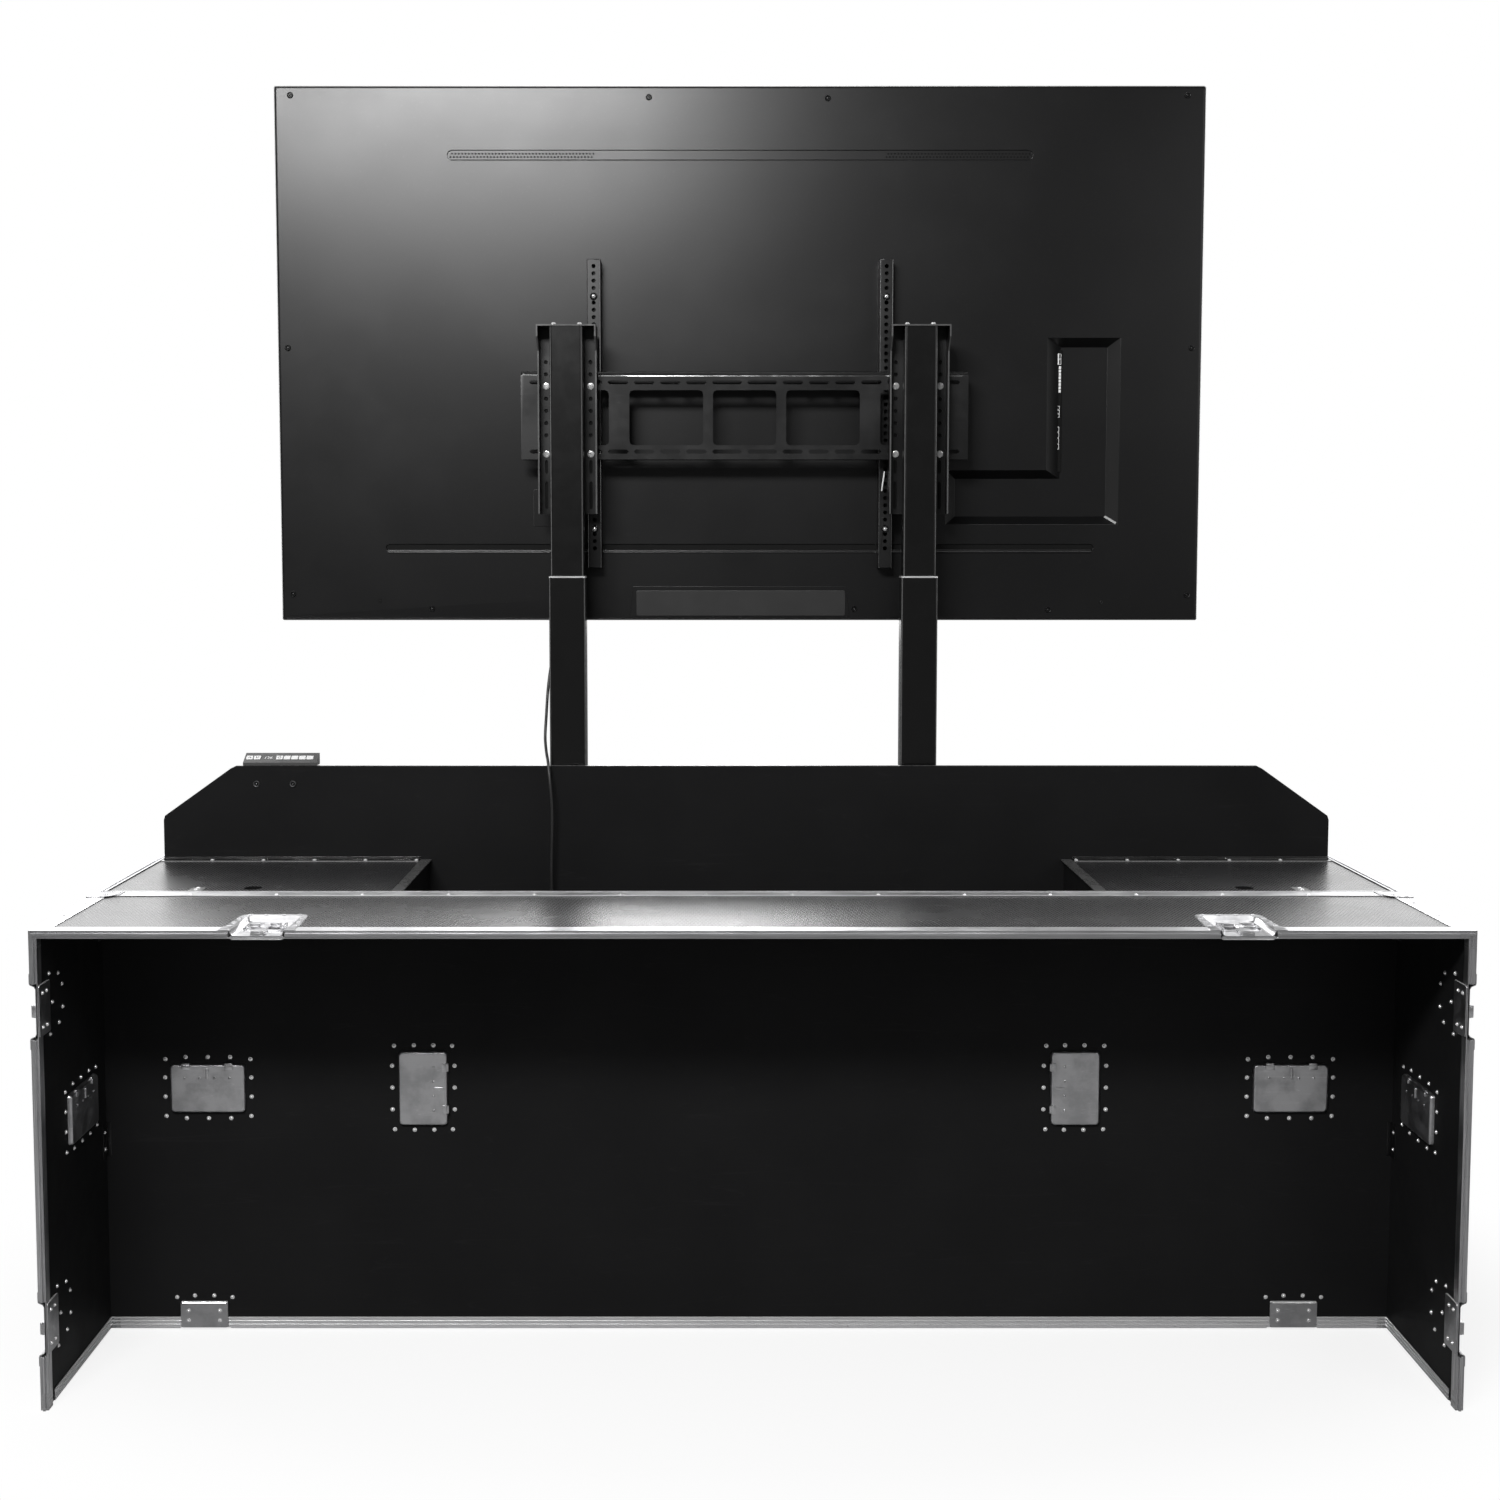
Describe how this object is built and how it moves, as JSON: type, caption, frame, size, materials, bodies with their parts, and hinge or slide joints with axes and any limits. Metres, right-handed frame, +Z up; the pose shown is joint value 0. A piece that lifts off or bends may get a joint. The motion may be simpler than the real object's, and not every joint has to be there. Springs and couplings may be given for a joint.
{
  "type": "motorized tv lift case",
  "caption": "Flight case with a television on a telescopic electric lift, hinged deck flaps, and its cover stood up as an operator's desk.",
  "frame": {"origin": "middle of the footprint, on the floor, with the lift up and the cover standing against the base", "axes": "+X to the operator's right, +Y from the operator towards the audience, +Z up"},
  "size_m": [2.4024, 1.1652, 2.403],
  "materials": {
    "aluminium": "mill-finish extrusion, lightly brushed",
    "black_steel": "fine-textured black powder coat",
    "button_white": "white key caps",
    "inside_board": "plain matt black film on plywood",
    "keypad_plastic": "dark grey moulding",
    "laminate": "textured black phenolic film on plywood, low sheen",
    "lead_black": "black sheath",
    "tv_glass": "dark glossy screen",
    "tv_plastic": "satin black moulding",
    "zinc_steel": "bright zinc plate"
  },
  "bodies": {
    "base": {"base_edging": "aluminium", "base_floor_panel": "laminate", "base_front_panel": "laminate", "base_left_panel": "laminate", "base_rear_panel": "laminate", "base_right_panel": "laminate", "base_top_rim": "aluminium", "column_outer_left": "black_steel", "column_outer_right": "black_steel", "control_box": "black_steel", "divider_board": "inside_board", "hinge_left": "zinc_steel", "hinge_right": "zinc_steel", "keypad_housing": "keypad_plastic", "partition_left": "laminate", "partition_right": "laminate", "power_lead": "lead_black"},
    "desk_cover": {"cover_top_panel": "laminate", "cover_back_panel": "inside_board", "cover_left_panel": "inside_board", "cover_right_panel": "inside_board", "cover_front_rim": "aluminium", "cover_bottom_rim": "aluminium", "cover_edging": "aluminium"},
    "lift_stage_two": {"column_second_left": "black_steel", "column_second_right": "black_steel"},
    "lift_stage_three": {"column_third_left": "black_steel", "column_third_right": "black_steel"},
    "tv_carriage": {"column_inner_left": "black_steel", "column_inner_right": "black_steel", "bracket_left": "black_steel", "bracket_right": "black_steel", "wall_plate": "black_steel", "tv_arm_left": "black_steel", "tv_arm_right": "black_steel", "tv_back_cover": "tv_plastic", "tv_screen": "tv_glass"},
    "flap_left": {"flap_left": "laminate"},
    "flap_right": {"flap_right": "laminate"},
    "rear_handle_left_outer": {"rear_handle_left_outer": "zinc_steel"},
    "rear_handle_left_inner": {"rear_handle_left_inner": "zinc_steel"},
    "end_handle_left": {"end_handle_left": "zinc_steel"},
    "rear_handle_right_outer": {"rear_handle_right_outer": "zinc_steel"},
    "rear_handle_right_inner": {"rear_handle_right_inner": "zinc_steel"},
    "end_handle_right": {"end_handle_right": "zinc_steel"},
    "top_latch_knob_left": {"top_latch_knob_left": "zinc_steel"},
    "rear_latch_knob_left": {"rear_latch_knob_left": "zinc_steel"},
    "left_latch_knob_lower": {"left_latch_knob_lower": "zinc_steel"},
    "left_latch_knob_upper": {"left_latch_knob_upper": "zinc_steel"},
    "top_latch_knob_right": {"top_latch_knob_right": "zinc_steel"},
    "rear_latch_knob_right": {"rear_latch_knob_right": "zinc_steel"},
    "right_latch_knob_lower": {"right_latch_knob_lower": "zinc_steel"},
    "right_latch_knob_upper": {"right_latch_knob_upper": "zinc_steel"},
    "key_up": {"key_up": "button_white"},
    "key_down": {"key_down": "button_white"},
    "key_memory": {"key_memory": "button_white"},
    "key_one": {"key_one": "button_white"},
    "key_two": {"key_two": "button_white"},
    "key_three": {"key_three": "button_white"},
    "key_four": {"key_four": "button_white"}
  },
  "joints": [
    {"name": "cover_slide", "type": "slide", "parent": "base", "child": "desk_cover", "axis": [0, -1, 0], "range_m": [0, 0.5]},
    {"name": "stage_two_slide", "type": "slide", "parent": "base", "child": "lift_stage_two", "axis": [0, 0, -1], "range_m": [0, 0.3725]},
    {"name": "stage_three_slide", "type": "slide", "parent": "lift_stage_two", "child": "lift_stage_three", "axis": [0, 0, -1], "range_m": [0, 0.4045]},
    {"name": "lift_slide", "type": "slide", "parent": "lift_stage_three", "child": "tv_carriage", "axis": [0, 0, -1], "range_m": [0, 0.497], "deforming": ["power_lead"]},
    {"name": "flap_left_hinge", "type": "hinge", "parent": "base", "child": "flap_left", "pos_m": [-0.92432, 0.125, 0.821], "axis": [-1, 0, 0], "range_deg": [0, 88]},
    {"name": "flap_right_hinge", "type": "hinge", "parent": "base", "child": "flap_right", "pos_m": [0.92432, 0.125, 0.821], "axis": [-1, 0, 0], "range_deg": [0, 88]},
    {"name": "rear_handle_left_outer_pivot", "type": "hinge", "parent": "desk_cover", "child": "rear_handle_left_outer", "pos_m": [-0.998, -0.2525, 0.48697], "axis": [1, 0, 0], "range_deg": [0, 10], "stiffness_Nm_per_rad": 0.6},
    {"name": "rear_handle_left_inner_pivot", "type": "hinge", "parent": "desk_cover", "child": "rear_handle_left_inner", "pos_m": [-0.572, -0.2525, 0.45797], "axis": [0, 0, -1], "range_deg": [0, 10], "stiffness_Nm_per_rad": 0.6},
    {"name": "end_handle_left_pivot", "type": "hinge", "parent": "desk_cover", "child": "end_handle_left", "pos_m": [-1.1876, -0.38078, 0.48697], "axis": [0, 1, 0], "range_deg": [0, 90], "stiffness_Nm_per_rad": 0.6},
    {"name": "rear_handle_right_outer_pivot", "type": "hinge", "parent": "desk_cover", "child": "rear_handle_right_outer", "pos_m": [0.998, -0.2525, 0.48697], "axis": [1, 0, 0], "range_deg": [0, 10], "stiffness_Nm_per_rad": 0.6},
    {"name": "rear_handle_right_inner_pivot", "type": "hinge", "parent": "desk_cover", "child": "rear_handle_right_inner", "pos_m": [0.572, -0.2525, 0.45797], "axis": [0, 0, 1], "range_deg": [0, 10], "stiffness_Nm_per_rad": 0.6},
    {"name": "end_handle_right_pivot", "type": "hinge", "parent": "desk_cover", "child": "end_handle_right", "pos_m": [1.1876, -0.38078, 0.48697], "axis": [0, -1, 0], "range_deg": [0, 90], "stiffness_Nm_per_rad": 0.6},
    {"name": "top_latch_knob_left_turn", "type": "hinge", "parent": "desk_cover", "child": "top_latch_knob_left", "pos_m": [-0.822, -0.5156, 0.812], "axis": [0, 0, 1], "range_deg": [0, 180]},
    {"name": "rear_latch_knob_left_turn", "type": "hinge", "parent": "desk_cover", "child": "rear_latch_knob_left", "pos_m": [-1.013, -0.2481, 0.067], "axis": [0, 1, 0], "range_deg": [0, 180]},
    {"name": "left_latch_knob_lower_turn", "type": "hinge", "parent": "desk_cover", "child": "left_latch_knob_lower", "pos_m": [-1.192, -0.5156, 0.1405], "axis": [-1, 0, 0], "range_deg": [0, 180]},
    {"name": "left_latch_knob_upper_turn", "type": "hinge", "parent": "desk_cover", "child": "left_latch_knob_upper", "pos_m": [-1.192, -0.5156, 0.683], "axis": [-1, 0, 0], "range_deg": [0, 180]},
    {"name": "top_latch_knob_right_turn", "type": "hinge", "parent": "desk_cover", "child": "top_latch_knob_right", "pos_m": [0.822, -0.5156, 0.812], "axis": [0, 0, 1], "range_deg": [0, 180]},
    {"name": "rear_latch_knob_right_turn", "type": "hinge", "parent": "desk_cover", "child": "rear_latch_knob_right", "pos_m": [1.013, -0.2481, 0.067], "axis": [0, 1, 0], "range_deg": [0, 180]},
    {"name": "right_latch_knob_lower_turn", "type": "hinge", "parent": "desk_cover", "child": "right_latch_knob_lower", "pos_m": [1.192, -0.5156, 0.1405], "axis": [1, 0, 0], "range_deg": [0, 180]},
    {"name": "right_latch_knob_upper_turn", "type": "hinge", "parent": "desk_cover", "child": "right_latch_knob_upper", "pos_m": [1.192, -0.5156, 0.683], "axis": [1, 0, 0], "range_deg": [0, 180]},
    {"name": "key_up_press", "type": "slide", "parent": "base", "child": "key_up", "axis": [0, 0.4848, -0.8746], "range_m": [0, 0.0008], "stiffness_N_per_m": 400},
    {"name": "key_down_press", "type": "slide", "parent": "base", "child": "key_down", "axis": [0, 0.4848, -0.8746], "range_m": [0, 0.0008], "stiffness_N_per_m": 400},
    {"name": "key_memory_press", "type": "slide", "parent": "base", "child": "key_memory", "axis": [0, 0.4848, -0.8746], "range_m": [0, 0.0008], "stiffness_N_per_m": 400},
    {"name": "key_one_press", "type": "slide", "parent": "base", "child": "key_one", "axis": [0, 0.4848, -0.8746], "range_m": [0, 0.0008], "stiffness_N_per_m": 400},
    {"name": "key_two_press", "type": "slide", "parent": "base", "child": "key_two", "axis": [0, 0.4848, -0.8746], "range_m": [0, 0.0008], "stiffness_N_per_m": 400},
    {"name": "key_three_press", "type": "slide", "parent": "base", "child": "key_three", "axis": [0, 0.4848, -0.8746], "range_m": [0, 0.0008], "stiffness_N_per_m": 400},
    {"name": "key_four_press", "type": "slide", "parent": "base", "child": "key_four", "axis": [0, 0.4848, -0.8746], "range_m": [0, 0.0008], "stiffness_N_per_m": 400}
  ],
  "couplings": [
    {"joint": "stage_two_slide", "follows": "lift_slide", "ratio": 0.74849},
    {"joint": "stage_three_slide", "follows": "lift_slide", "ratio": 0.81288}
  ]
}
